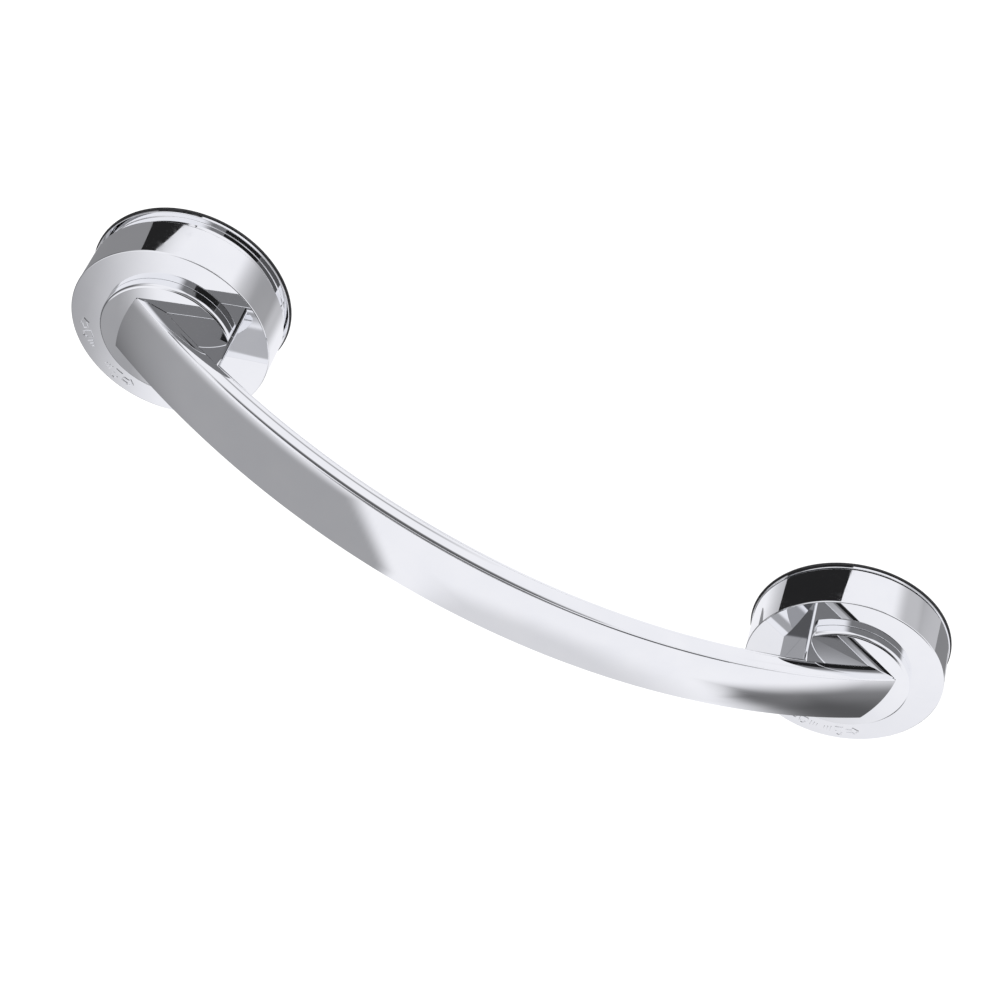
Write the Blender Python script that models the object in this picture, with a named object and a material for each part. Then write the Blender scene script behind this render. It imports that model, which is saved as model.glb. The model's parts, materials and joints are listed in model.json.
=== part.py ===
"""A suction grab bar: an arched, chrome-plated handle on two twist-lock suction discs.

Metres, +Z up. The bar lies along X, the wall is the plane y = 0 and the handle stands out towards -Y.
The origin is on the wall, midway between the two discs. The left end is open: its ring is turned back
and its pad stands out behind it. The right end is locked. Run with blender --background --python.
"""

import math

import bmesh
import bpy
from mathutils import Matrix

MM = 0.001
GAP = 0.3  # clearance between neighbouring pieces, in millimetres like every length below

# Handle
DISC_SPACING = 298.2  # between the axes of the two discs
ARC_RADIUS = 318.0  # of the bar's outer face and of its back edge
FRONT_APEX = -73.0  # front edge of the side band at mid-length
BAND_DEPTH = 7.4  # of the side band, front to back
CROWN = 1.0  # how far the front face bulges out between its edges
HALF_WIDTH = 14.4
EDGE_ROUND = 0.8
SIDE_BULGE = 0.35
WALL = 2.2
BACK_BULGE = 3.2
SPIGOT = 1.8
BAR_STATIONS = 24

# Foot and boss under each end of the bar
BOSS_RADIUS = 27.1
BOSS_CUT = 21.2  # from the disc's axis to the flat that cuts the boss off, towards the middle of the bar
BOSS_TOP = -25.9
BOSS_ROUND = 1.1
BOSS_BOTTOM = -21.8
SPARE = 1.0  # left on the underside of boss and foot until one flat cut takes it off
FOOT_REACH = 22.9  # from the disc's axis to the foot's inner wall
FOOT_TIP = 5.0  # how far the foot runs past the disc's axis
FOOT_HALF_WIDTH = 14.3
FOOT_ROUND = 1.6
POST_OFFSETS = ((8.0, -6.0), (8.0, 6.0))
POST_HALF = 3.4
POST_END = -26.1
POST_HOLE_END = -36.2
HEAD_POCKET_RADIUS = 4.0  # of the pocket for a shell screw's head, in the boss's underside
HEAD_POCKET_DEPTH = 2.2

# Hub
HUB_FRONT = BOSS_BOTTOM + GAP
HUB_RADIUS = 18.6
HUB_BACK = -18.7
HUB_BORE = 8.1
HUB_FLOOR = -20.0
GUIDE_RADIUS = 11.0  # of the hexagonal guide tube, across its corners
GUIDE_END = -5.6
RETAINER_INNER = 11.7
RETAINER_OUTER = 26.0
RETAINER_THICKNESS = 1.7

# Lock ring
RING_RADIUS = 40.0
RING_FRONT = -21.5
RING_BACK = -2.9
RING_WALL = 1.5
RING_HOLE = 19.0
FACE_BACK = -19.7
SLIP_OUTER = 26.0
CAM_INNER = 33.0
CAM_OUTER = 35.2
CAM_END = -5.3
SLOT_HALF_HEIGHT = 1.7

# Travel
TURN = math.radians(120)
TRAVEL = 5.2
PIN_LOCKED = -13.4
PIN_COUNT = 3

# Carrier, plate and pad, all in the locked position
CARRIER_FRONT = -7.5
CARRIER_BACK = -5.3
SKIRT_INNER = 29.9
SKIRT_OUTER = 32.4
SKIRT_FRONT = -15.6
COLLAR_OUTER = 14.5
COLLAR_FRONT = -12.3
COLLAR_HEX = 11.6
PIN_RADIUS = 1.3
PLATE_RADIUS = 40.3
PLATE_DRUM = 38.1
PLATE_DRUM_INNER = 36.4
PLATE_FRONT = -9.5
PLATE_FLOOR_FRONT = -5.0
PLATE_FLOOR_BACK = -3.4
PLATE_RIM_FRONT = -2.6
PLATE_RIM_BACK = -2.0
STUD_HOLE = 4.3
PAD_RADIUS = 40.9
PAD_STEP_RADIUS = 36.0
PAD_GROOVE = (30.0, 32.0)  # inner and outer radius of the shallow groove in the sealing face
PAD_GROOVE_DEPTH = 0.6
PAD_POCKET_FLOOR = -1.2
INSERT_RADIUS = 12.0
INSERT_FRONT = -2.9
INSERT_BACK = -1.5
STUD_RADIUS = 3.9
STUD_END = -11.6
WASHER_RADIUS = 7.5
WASHER_THICKNESS = 1.2
NUT_RADIUS = 7.3  # across its corners
NUT_HEIGHT = 4.0

# Screws
SCREW_SHANK = 1.9
SCREW_HOLE = SCREW_SHANK + GAP
SCREW_HEAD = 3.6
SCREW_POINT = 1.0
HUB_SCREW_TIP = -24.1
HUB_SCREW_HEAD_HEIGHT = 2.1
SHELL_SCREW_TIP = -35.5
SHELL_SCREW_HEAD_HEIGHT = 1.6
CARRIER_SCREW_TIP = -3.5
CARRIER_SCREW_HEAD_HEIGHT = 1.4
HUB_SCREW_CIRCLE = 15.2
HUB_SCREW_ANGLES = (60, 180, 300)
CARRIER_SCREW_CIRCLE = 22.0
CARRIER_SCREW_ANGLES = (30, 150, 270)

ROUND = 36  # sides of a large turned piece
MEDIUM_ROUND = 24
SMALL_ROUND = 10
SLOT_STEPS = 12
ROUNDING = [math.radians(a) for a in (30, 60, 90)]


def clear_scene():
    for obj in list(bpy.data.objects):
        bpy.data.objects.remove(obj, do_unlink=True)


def material(name, color, roughness, metallic):
    made = bpy.data.materials.new(name)
    made.use_nodes = True
    shader = made.node_tree.nodes["Principled BSDF"]
    shader.inputs["Base Color"].default_value = (*color, 1)
    shader.inputs["Roughness"].default_value = roughness
    shader.inputs["Metallic"].default_value = metallic
    made.diffuse_color = (*color, 1)
    return made


def add_object(name, bm, look, parent=None, smooth=True):
    """Turns a bmesh in millimetres into an object in metres."""
    bmesh.ops.remove_doubles(bm, verts=bm.verts, dist=1e-5)
    bmesh.ops.recalc_face_normals(bm, faces=bm.faces)
    bmesh.ops.transform(bm, matrix=Matrix.Scale(MM, 4), verts=bm.verts)
    mesh = bpy.data.meshes.new(name)
    bm.to_mesh(mesh)
    bm.free()
    if look:
        mesh.materials.append(look)
    obj = bpy.data.objects.new(name, mesh)
    bpy.context.collection.objects.link(obj)
    obj.parent = parent
    if smooth:
        mesh.shade_smooth()
        mesh.set_sharp_from_angle(angle=math.radians(30))
    return obj


def turned(outline, sides=ROUND):
    """A closed outline of (radius, y) points, spun about the Y axis."""
    bm = bmesh.new()
    points = [bm.verts.new((radius, y, 0)) for radius, y in outline]
    edges = [bm.edges.new(pair) for pair in zip(points, points[1:] + points[:1])]
    bmesh.ops.spin(
        bm,
        geom=points + edges,
        cent=(0, 0, 0),
        axis=(0, 1, 0),
        angle=math.tau,
        steps=sides,
        use_merge=True,
    )
    bmesh.ops.remove_doubles(bm, verts=bm.verts, dist=1e-4)
    flat = [edge for edge in bm.edges if not edge.link_faces]
    bmesh.ops.delete(bm, geom=flat, context="EDGES")
    return bm


def drum(radius, front, back, sides=SMALL_ROUND, at=(0, 0)):
    """A solid cylinder along Y from front to back, at (x, z)."""
    bm = bmesh.new()
    place = Matrix.Translation((at[0], (front + back) / 2, at[1])) @ Matrix.Rotation(math.pi / 2, 4, "X")
    bmesh.ops.create_cone(
        bm,
        cap_ends=True,
        segments=sides,
        radius1=radius,
        radius2=radius,
        depth=back - front,
        matrix=place,
    )
    return bm


def prism(outline, low, high):
    """An (x, y) outline extruded along Z."""
    bm = bmesh.new()
    face = bm.faces.new([bm.verts.new((x, y, low)) for x, y in outline])
    made = bmesh.ops.extrude_face_region(bm, geom=[face])
    raised = [part for part in made["geom"] if isinstance(part, bmesh.types.BMVert)]
    bmesh.ops.translate(bm, verts=raised, vec=(0, 0, high - low))
    return bm


def boolean(target, bm, operation):
    """Applies a cutter or an addition, given as a bmesh in millimetres in the target's own frame."""
    bpy.context.view_layer.update()
    tool = add_object(target.name + "_tool", bm, None, smooth=False)
    tool.matrix_world = target.matrix_world
    modifier = target.modifiers.new("shape", "BOOLEAN")
    modifier.operation = operation
    modifier.solver = "EXACT"
    modifier.object = tool
    bpy.context.view_layer.update()
    evaluated = target.evaluated_get(bpy.context.evaluated_depsgraph_get())
    shaped = bpy.data.meshes.new_from_object(evaluated)
    target.modifiers.remove(modifier)
    old = target.data
    shaped.name = old.name
    target.data = shaped
    bpy.data.meshes.remove(old)
    bpy.data.objects.remove(tool, do_unlink=True)


def circle_points(circle, angles):
    return [(circle * math.cos(math.radians(a)), circle * math.sin(math.radians(a))) for a in angles]


# Bar


def arc_drop(x):
    """How far the bar's arc falls back towards the wall at x from mid-length."""
    return ARC_RADIUS - math.sqrt(ARC_RADIUS**2 - x * x)


def band_back(x):
    return FRONT_APEX + BAND_DEPTH + arc_drop(x)


def front_section():
    """(z, y) outline of the front shell at mid-length, from one back edge round the front to the other."""
    corner = HALF_WIDTH - EDGE_ROUND
    front = [
        (z, FRONT_APEX - CROWN * (1 - (z / corner) ** 2))
        for z in [corner * (step / 4 - 1) for step in range(9)]
    ]
    side = []
    for step in range(5):
        share = step / 4
        depth = FRONT_APEX + EDGE_ROUND + share * (BAND_DEPTH - EDGE_ROUND)
        side.append((HALF_WIDTH + SIDE_BULGE * math.sin(math.pi * share), depth))
    half_step = (HALF_WIDTH - 0.3 * EDGE_ROUND, FRONT_APEX + 0.3 * EDGE_ROUND)
    right = [half_step, *side]
    left = [(-z, y) for z, y in reversed(right)]
    inner = HALF_WIDTH - WALL
    back = FRONT_APEX + BAND_DEPTH
    roof = FRONT_APEX + WALL
    fillet = 0.6
    inside = [(inner, back), (inner, roof + fillet), (inner - fillet, roof)]
    inside += [(-z, y) for z, y in reversed(inside)]
    return left + front + right + inside


def back_section():
    """(z, y) outline of the bar's back plate at mid-length, with a spigot inside each front shell wall."""
    base = FRONT_APEX + BAND_DEPTH + GAP
    half = HALF_WIDTH - 0.3
    bulge = [
        (half * math.cos(math.pi * step / 8), base + 0.5 + BACK_BULGE * math.sin(math.pi * step / 8))
        for step in range(9)
    ]
    outside = HALF_WIDTH - WALL - GAP
    inside = outside - WALL
    tip = base - SPIGOT
    left_spigot = [(-outside, base), (-outside, tip), (-inside, tip), (-inside, base + 0.6)]
    right_spigot = [(-z, y) for z, y in reversed(left_spigot)]
    return [*bulge, (-half, base), *left_spigot, *right_spigot, (half, base)]


def swept(section, reach, stations):
    """The section carried along the bar's arc, from -reach to reach."""
    bm = bmesh.new()
    rows = []
    for step in range(stations + 1):
        x = reach * (2 * step / stations - 1)
        rows.append([bm.verts.new((x, y + arc_drop(x), z)) for z, y in section])
    count = len(section)
    for first, second in zip(rows, rows[1:]):
        for i in range(count):
            j = (i + 1) % count
            bm.faces.new((first[i], first[j], second[j], second[i]))
    bm.faces.new(rows[0])
    bm.faces.new(rows[-1])
    return bm


def post(at, low):
    """A square screw post whose top lies inside the front shell's sloping wall."""
    x, z = at
    corners = [(x - POST_HALF, low), (x + POST_HALF, low)]
    corners += [(side, FRONT_APEX + arc_drop(side) + 1.2) for side in (x + POST_HALF, x - POST_HALF)]
    return prism(corners, z - POST_HALF, z + POST_HALF)


def box(low, high):
    bm = bmesh.new()
    size = [b - a for a, b in zip(low, high)]
    centre = [(a + b) / 2 for a, b in zip(low, high)]
    bmesh.ops.create_cube(bm, size=1, matrix=Matrix.Translation(centre) @ Matrix.Diagonal((*size, 1)))
    return bm


def ends():
    """(sign, disc axis x) of the left and the right end."""
    return ((-1, -DISC_SPACING / 2), (1, DISC_SPACING / 2))


def front_shell(look):
    reach = DISC_SPACING / 2 + 26
    shell = add_object("handle_front_shell", swept(front_section(), reach, BAR_STATIONS), look)
    boolean(shell, box((-300, BOSS_TOP - GAP, -40), (300, 60, 40)), "DIFFERENCE")
    for sign, axis in ends():
        for inward, across in POST_OFFSETS:
            at = (axis - sign * inward, -sign * across)
            boolean(shell, post(at, POST_END), "UNION")
            boolean(shell, drum(SCREW_HOLE, POST_HOLE_END, POST_END + 2, at=at), "DIFFERENCE")
    return shell


def boss(sign, axis):
    """The disc under a bar's end, with a rounded front edge, cut off flat towards the bar's middle."""
    steps = 40
    layers = [(0, BOSS_BOTTOM + SPARE), (0, BOSS_TOP + BOSS_ROUND)]
    layers += [(BOSS_ROUND * (1 - math.cos(a)), BOSS_TOP + BOSS_ROUND * (1 - math.sin(a))) for a in ROUNDING]
    bm = bmesh.new()
    rows = []
    for inset, y in layers:
        radius = BOSS_RADIUS - inset
        first = math.acos(BOSS_CUT / radius)
        row = []
        for step in range(steps + 1):
            angle = first + (math.tau - 2 * first) * step / steps
            row.append(bm.verts.new((axis - sign * radius * math.cos(angle), y, radius * math.sin(angle))))
        rows.append(row)
    for first, second in zip(rows, rows[1:]):
        for i in range(steps + 1):
            j = (i + 1) % (steps + 1)
            bm.faces.new((first[i], first[j], second[j], second[i]))
    bm.faces.new(rows[0])
    bm.faces.new(rows[-1])
    return bm


def foot_outline(sign, axis):
    """(x, y) outline of a foot seen from above, running a little past the underside of its boss."""
    wall = axis - sign * FOOT_REACH
    tip = axis + sign * FOOT_TIP
    steps = 6
    points = [(wall, BOSS_BOTTOM + SPARE)]
    for step in range(steps + 1):
        x = wall + (tip - wall) * step / steps
        points.append((x, band_back(x) + GAP))
    points.append((tip, BOSS_BOTTOM + 1.6 * SPARE))
    return points


def rear_shell(look):
    reach = DISC_SPACING / 2 - FOOT_REACH + 1.5
    shell = add_object("handle_rear_shell", swept(back_section(), reach, BAR_STATIONS), look)
    for sign, axis in ends():
        foot = prism(foot_outline(sign, axis), -FOOT_HALF_WIDTH, FOOT_HALF_WIDTH)
        upright = [
            edge
            for edge in foot.edges
            if all(abs(v.co.x - (axis - sign * FOOT_REACH)) < 1e-6 for v in edge.verts)
            and abs(edge.verts[0].co.z - edge.verts[1].co.z) < 1e-6
        ]
        bmesh.ops.bevel(foot, geom=upright, offset=FOOT_ROUND, segments=4, profile=0.5, affect="EDGES")
        boolean(shell, foot, "UNION")
        boolean(shell, boss(sign, axis), "UNION")
        boolean(shell, box((-300, BOSS_BOTTOM, -40), (300, 0, 40)), "DIFFERENCE")
        near = axis - sign * (FOOT_REACH - WALL)
        far = axis + sign * (FOOT_TIP - 3 * WALL)
        half = FOOT_HALF_WIDTH - WALL
        low = (min(near, far), -60, -half)
        high = (max(near, far), BOSS_TOP + 0.2, half)
        boolean(shell, box(low, high), "DIFFERENCE")
        for inward, across in POST_OFFSETS:
            at = (axis - sign * inward, -sign * across)
            boolean(shell, drum(SCREW_HOLE, BOSS_TOP - 2, BOSS_BOTTOM + 1, at=at), "DIFFERENCE")
            pocket_front = BOSS_BOTTOM - HEAD_POCKET_DEPTH
            boolean(shell, drum(HEAD_POCKET_RADIUS, pocket_front, BOSS_BOTTOM + 1, at=at), "DIFFERENCE")
        for x, z in circle_points(HUB_SCREW_CIRCLE, HUB_SCREW_ANGLES):
            at = (axis - sign * x, -sign * z)
            boolean(shell, drum(SCREW_HOLE, BOSS_TOP + 1.2, BOSS_BOTTOM + 1, at=at), "DIFFERENCE")
    return shell


# One end, built round its disc's axis with +X towards the middle of the bar


def hub(name, look, parent):
    outline = [
        (HUB_BORE, HUB_FLOOR),
        (0, HUB_FLOOR),
        (0, HUB_FRONT),
        (HUB_RADIUS, HUB_FRONT),
        (HUB_RADIUS, HUB_BACK),
        (HUB_BORE, HUB_BACK),
    ]
    made = add_object(name, turned(outline), look, parent)
    tube = drum(GUIDE_RADIUS, HUB_BACK - 1, GUIDE_END, 6)
    boolean(made, tube, "UNION")
    boolean(made, drum(HUB_BORE, HUB_FLOOR, GUIDE_END + 1, MEDIUM_ROUND), "DIFFERENCE")
    for at in circle_points(HUB_SCREW_CIRCLE, HUB_SCREW_ANGLES):
        boolean(made, drum(SCREW_HOLE, HUB_FRONT - 1, HUB_BACK + 1, at=at), "DIFFERENCE")
    return made


def slip_washer(name, look, parent):
    front = FACE_BACK + GAP
    inner, outer = RING_HOLE, SLIP_OUTER
    outline = [(inner, front), (outer, front), (outer, HUB_BACK), (inner, HUB_BACK)]
    return add_object(name, turned(outline), look, parent)


def helical_slot(start_angle):
    """The way of one cam pin through the ring's cam sleeve, from its locked end to its open end."""
    bm = bmesh.new()
    margin = SLOT_HALF_HEIGHT / CAM_INNER
    inner = CAM_INNER - 2
    outer = CAM_OUTER + 1.2
    rows = []
    for step in range(SLOT_STEPS + 1):
        share = step / SLOT_STEPS
        angle = start_angle - margin + share * (TURN + 2 * margin)
        lift = TRAVEL * min(max((angle - start_angle) / TURN, 0), 1)
        row = []
        for radius, side in ((inner, -1), (outer, -1), (outer, 1), (inner, 1)):
            y = PIN_LOCKED + lift + side * SLOT_HALF_HEIGHT
            row.append(bm.verts.new((radius * math.cos(angle), y, -radius * math.sin(angle))))
        rows.append(row)
    for first, second in zip(rows, rows[1:]):
        for i in range(4):
            j = (i + 1) % 4
            bm.faces.new((first[i], first[j], second[j], second[i]))
    bm.faces.new(rows[0])
    bm.faces.new(rows[-1])
    return bm


def lock_ring(name, look, parent, angle):
    wall = RING_RADIUS - RING_WALL
    outline = [
        (RING_HOLE, RING_FRONT),
        (RING_RADIUS - 0.5, RING_FRONT),
        (RING_RADIUS, RING_FRONT + 0.5),
        (RING_RADIUS, RING_BACK - 0.4),
        (RING_RADIUS - 0.4, RING_BACK),
        (wall, RING_BACK),
        (wall, FACE_BACK),
        (CAM_OUTER, FACE_BACK),
        (CAM_OUTER, CAM_END),
        (CAM_INNER, CAM_END),
        (CAM_INNER, FACE_BACK),
        (RING_HOLE, FACE_BACK),
    ]
    made = add_object(name, turned(outline), look, parent)
    for slot in range(PIN_COUNT):
        boolean(made, helical_slot(slot * math.tau / PIN_COUNT), "DIFFERENCE")
    made.rotation_euler = (0, angle, 0)
    return made


def retainer(name, look, parent):
    front = HUB_BACK + GAP
    back = front + RETAINER_THICKNESS
    inner, outer = RETAINER_INNER, RETAINER_OUTER
    outline = [(inner, front), (outer, front), (outer, back), (inner, back)]
    made = add_object(name, turned(outline, MEDIUM_ROUND), look, parent)
    for at in circle_points(HUB_SCREW_CIRCLE, HUB_SCREW_ANGLES):
        boolean(made, drum(SCREW_HOLE, front - 1, back + 1, at=at), "DIFFERENCE")
    return made


def screw(name, look, parent, at, head_front, head_height, tip):
    """A pan-head screw along Y. Its head reaches back from head_front, and its point is at tip."""
    back = head_front + head_height
    outline = [
        (0, tip),
        (SCREW_SHANK, tip + SCREW_POINT),
        (SCREW_SHANK, head_front),
        (SCREW_HEAD, head_front),
        (SCREW_HEAD, back - 0.6),
        (SCREW_HEAD - 0.9, back),
        (0, back),
    ]
    made = add_object(name, turned(outline, SMALL_ROUND), look, parent)
    made.location = (at[0] * MM, 0, at[1] * MM)
    return made


def carrier(name, look, parent):
    outline = [
        (COLLAR_HEX - 2, COLLAR_FRONT),
        (COLLAR_OUTER, COLLAR_FRONT),
        (COLLAR_OUTER, CARRIER_FRONT),
        (SKIRT_INNER, CARRIER_FRONT),
        (SKIRT_INNER, SKIRT_FRONT),
        (SKIRT_OUTER, SKIRT_FRONT),
        (SKIRT_OUTER, CARRIER_BACK),
        (COLLAR_HEX - 2, CARRIER_BACK),
    ]
    made = add_object(name, turned(outline), look, parent)
    boolean(made, drum(COLLAR_HEX, COLLAR_FRONT - 1, CARRIER_BACK + 1, 6), "DIFFERENCE")
    for number in range(PIN_COUNT):
        angle = number * math.tau / PIN_COUNT
        hole = bmesh.new()
        place = Matrix.Rotation(angle, 4, "Y") @ Matrix.Translation((SKIRT_OUTER, PIN_LOCKED, 0))
        bmesh.ops.create_cone(
            hole,
            cap_ends=True,
            segments=SMALL_ROUND,
            radius1=PIN_RADIUS + GAP,
            radius2=PIN_RADIUS + GAP,
            depth=8,
            matrix=place @ Matrix.Rotation(math.pi / 2, 4, "Y"),
        )
        boolean(made, hole, "DIFFERENCE")
    for at in circle_points(CARRIER_SCREW_CIRCLE, CARRIER_SCREW_ANGLES):
        boolean(made, drum(SCREW_HOLE, CARRIER_FRONT - 1, CARRIER_BACK + 1, at=at), "DIFFERENCE")
    return made


def cam_pin(name, look, parent, number):
    bm = bmesh.new()
    inner = SKIRT_INNER + GAP
    outer = CAM_OUTER - GAP
    place = Matrix.Rotation(number * math.tau / PIN_COUNT, 4, "Y") @ Matrix.Translation(
        ((inner + outer) / 2, PIN_LOCKED, 0)
    )
    bmesh.ops.create_cone(
        bm,
        cap_ends=True,
        segments=SMALL_ROUND,
        radius1=PIN_RADIUS,
        radius2=PIN_RADIUS,
        depth=outer - inner,
        matrix=place @ Matrix.Rotation(math.pi / 2, 4, "Y"),
    )
    return add_object(name, bm, look, parent)


def base_plate(name, look, parent):
    outline = [
        (STUD_HOLE, PLATE_FLOOR_FRONT),
        (PLATE_DRUM_INNER, PLATE_FLOOR_FRONT),
        (PLATE_DRUM_INNER, PLATE_FRONT),
        (PLATE_DRUM - 0.4, PLATE_FRONT),
        (PLATE_DRUM, PLATE_FRONT + 0.4),
        (PLATE_DRUM, PLATE_RIM_FRONT),
        (PLATE_RADIUS, PLATE_RIM_FRONT),
        (PLATE_RADIUS, PLATE_RIM_BACK),
        (PAD_STEP_RADIUS + GAP, PLATE_RIM_BACK),
        (PAD_STEP_RADIUS + GAP, PLATE_FLOOR_BACK),
        (STUD_HOLE, PLATE_FLOOR_BACK),
    ]
    made = add_object(name, turned(outline), look, parent)
    for at in circle_points(CARRIER_SCREW_CIRCLE, CARRIER_SCREW_ANGLES):
        boolean(made, drum(SCREW_HOLE, PLATE_FLOOR_FRONT - 1, PLATE_FLOOR_BACK + 1, at=at), "DIFFERENCE")
    return made


def suction_pad(name, look, parent):
    front = PLATE_FLOOR_BACK + GAP
    rim_front = PLATE_RIM_BACK + GAP
    groove_inner, groove_outer = PAD_GROOVE
    outline = [
        (0, PAD_POCKET_FLOOR),
        (INSERT_RADIUS + GAP, PAD_POCKET_FLOOR),
        (INSERT_RADIUS + GAP, front),
        (PAD_STEP_RADIUS, front),
        (PAD_STEP_RADIUS, rim_front),
        (PAD_RADIUS - 0.3, rim_front),
        (PAD_RADIUS, rim_front + 0.5),
        (PAD_RADIUS - 0.2, -0.4),
        (PAD_RADIUS - 0.9, 0),
        (groove_outer, 0),
        (groove_outer - 0.4, -PAD_GROOVE_DEPTH),
        (groove_inner + 0.4, -PAD_GROOVE_DEPTH),
        (groove_inner, 0),
        (0, 0),
    ]
    return add_object(name, turned(outline), look, parent)


def pad_stud(name, look, parent):
    outline = [
        (0, STUD_END),
        (STUD_RADIUS - 0.7, STUD_END),
        (STUD_RADIUS, STUD_END + 0.7),
        (STUD_RADIUS, INSERT_FRONT),
        (INSERT_RADIUS, INSERT_FRONT),
        (INSERT_RADIUS, INSERT_BACK),
        (0, INSERT_BACK),
    ]
    return add_object(name, turned(outline, MEDIUM_ROUND), look, parent)


def stud_washer(name, look, parent):
    back = PLATE_FLOOR_FRONT - GAP
    front = back - WASHER_THICKNESS
    outline = [(STUD_HOLE, front), (WASHER_RADIUS, front), (WASHER_RADIUS, back), (STUD_HOLE, back)]
    return add_object(name, turned(outline, MEDIUM_ROUND), look, parent)


def stud_nut(name, look, parent):
    back = PLATE_FLOOR_FRONT - WASHER_THICKNESS - 2 * GAP
    front = back - NUT_HEIGHT
    made = add_object(name, drum(NUT_RADIUS, front, back, 6), look, parent)
    boolean(made, drum(STUD_RADIUS + GAP, front - 1, back + 1, MEDIUM_ROUND), "DIFFERENCE")
    return made


def build_end(side, axis, turn, ring_angle, pad_shift, looks):
    """All pieces of one end, held by two empties: one for fixed pieces and ring, one for the pad unit."""
    base = bpy.data.objects.new(side + "_end", None)
    bpy.context.collection.objects.link(base)
    base.location = (axis * MM, 0, 0)
    base.rotation_euler = (0, turn, 0)
    unit = bpy.data.objects.new(side + "_pad_unit", None)
    bpy.context.collection.objects.link(unit)
    unit.parent = base

    chrome, dark, rubber, steel, slip = looks
    hub(side + "_hub", chrome, base)
    slip_washer(side + "_slip_washer", slip, base)
    lock_ring(side + "_lock_ring", chrome, base, ring_angle)
    retainer(side + "_retainer", dark, base)
    for number, at in enumerate(circle_points(HUB_SCREW_CIRCLE, HUB_SCREW_ANGLES), 1):
        head = HUB_BACK + RETAINER_THICKNESS + 2 * GAP
        name = f"{side}_hub_screw_{number}"
        screw(name, steel, base, at, head, HUB_SCREW_HEAD_HEIGHT, HUB_SCREW_TIP)
    for number, at in enumerate(POST_OFFSETS, 1):
        head = BOSS_BOTTOM - HEAD_POCKET_DEPTH + GAP
        name = f"{side}_shell_screw_{number}"
        screw(name, steel, base, at, head, SHELL_SCREW_HEAD_HEIGHT, SHELL_SCREW_TIP)

    carrier(side + "_carrier", dark, unit)
    base_plate(side + "_base_plate", chrome, unit)
    suction_pad(side + "_suction_pad", rubber, unit)
    pad_stud(side + "_pad_stud", steel, unit)
    stud_washer(side + "_stud_washer", steel, unit)
    stud_nut(side + "_stud_nut", steel, unit)
    for number in range(PIN_COUNT):
        cam_pin(f"{side}_cam_pin_{number + 1}", steel, unit, number)
    for number, at in enumerate(circle_points(CARRIER_SCREW_CIRCLE, CARRIER_SCREW_ANGLES), 1):
        head = GAP - CARRIER_FRONT
        name = f"{side}_carrier_screw_{number}"
        made = screw(name, steel, unit, at, head, CARRIER_SCREW_HEAD_HEIGHT, -CARRIER_SCREW_TIP)
        made.rotation_euler = (math.pi, 0, 0)
    unit.location = (0, pad_shift * MM, 0)


def main():
    clear_scene()
    chrome = material("chrome", (0.86, 0.87, 0.89), 0.04, 1.0)
    dark = material("black_plastic", (0.03, 0.03, 0.032), 0.45, 0.0)
    rubber = material("black_rubber", (0.015, 0.015, 0.016), 0.6, 0.0)
    steel = material("zinc_steel", (0.62, 0.62, 0.6), 0.3, 1.0)
    slip = material("white_slip_plastic", (0.8, 0.8, 0.78), 0.4, 0.0)
    looks = (chrome, dark, rubber, steel, slip)
    front_shell(chrome)
    rear_shell(chrome)
    build_end("left", -DISC_SPACING / 2, 0, -TURN, TRAVEL, looks)
    build_end("right", DISC_SPACING / 2, math.pi, 0, 0, looks)


main()
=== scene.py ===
"""The finished look of the suction grab bar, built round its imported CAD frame.

Shapes are worked out in millimetres and made in metres. The wall is the plane y = 0, the bar stands out
towards -Y, and each end is described in a frame of its own whose +X points at the middle of the bar.
"""

import json
import math

import bmesh
import bpy
import numpy as np
from mathutils import Matrix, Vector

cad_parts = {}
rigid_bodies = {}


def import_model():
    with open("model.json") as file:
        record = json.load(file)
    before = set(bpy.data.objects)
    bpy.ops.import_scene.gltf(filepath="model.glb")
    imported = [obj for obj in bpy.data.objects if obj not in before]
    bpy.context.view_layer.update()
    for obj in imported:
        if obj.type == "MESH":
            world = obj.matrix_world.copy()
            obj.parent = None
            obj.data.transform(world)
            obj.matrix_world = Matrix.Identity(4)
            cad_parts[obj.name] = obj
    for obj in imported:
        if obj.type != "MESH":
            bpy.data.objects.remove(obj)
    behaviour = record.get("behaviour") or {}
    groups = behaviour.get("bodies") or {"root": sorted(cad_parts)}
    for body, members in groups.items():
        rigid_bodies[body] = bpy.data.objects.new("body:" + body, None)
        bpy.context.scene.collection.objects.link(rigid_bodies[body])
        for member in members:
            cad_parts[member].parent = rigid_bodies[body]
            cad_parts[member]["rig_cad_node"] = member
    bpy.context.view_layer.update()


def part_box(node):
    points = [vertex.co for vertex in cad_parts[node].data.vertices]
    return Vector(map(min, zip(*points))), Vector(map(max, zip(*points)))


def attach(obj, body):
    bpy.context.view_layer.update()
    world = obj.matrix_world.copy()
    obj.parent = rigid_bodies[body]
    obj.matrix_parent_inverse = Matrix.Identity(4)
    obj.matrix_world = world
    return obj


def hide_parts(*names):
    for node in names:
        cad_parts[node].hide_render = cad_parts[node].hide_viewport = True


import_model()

MM = 0.001

# Bar
ARC_RADIUS = 318.0
FRONT_APEX = -73.0
BAND_DEPTH = 7.4
CROWN = 1.0
HALF_WIDTH = 14.4
EDGE_ROUND = 1.1
SIDE_BULGE = 0.35
WALL = 2.2
BACK_BULGE = 3.2
BAR_STATIONS = 180

# Foot and boss
BOSS_RADIUS = 27.1
BOSS_CUT = 21.2
BOSS_TOP = -25.9
BOSS_CROWN = 0.5
BOSS_ROUND = 1.4
BOSS_BOTTOM = -21.58
FOOT_REACH = 22.9
FOOT_TIP = 5.0
FOOT_HALF_WIDTH = 14.3
FOOT_ROUND = 1.6

# Hub
HUB_FRONT = -21.5
HUB_RADIUS = 18.7
HUB_BACK = -18.7
GUIDE_RADIUS = 11.0
HUB_BORE = 8.1
HUB_FLOOR = -20.0
GUIDE_END = -5.6

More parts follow.
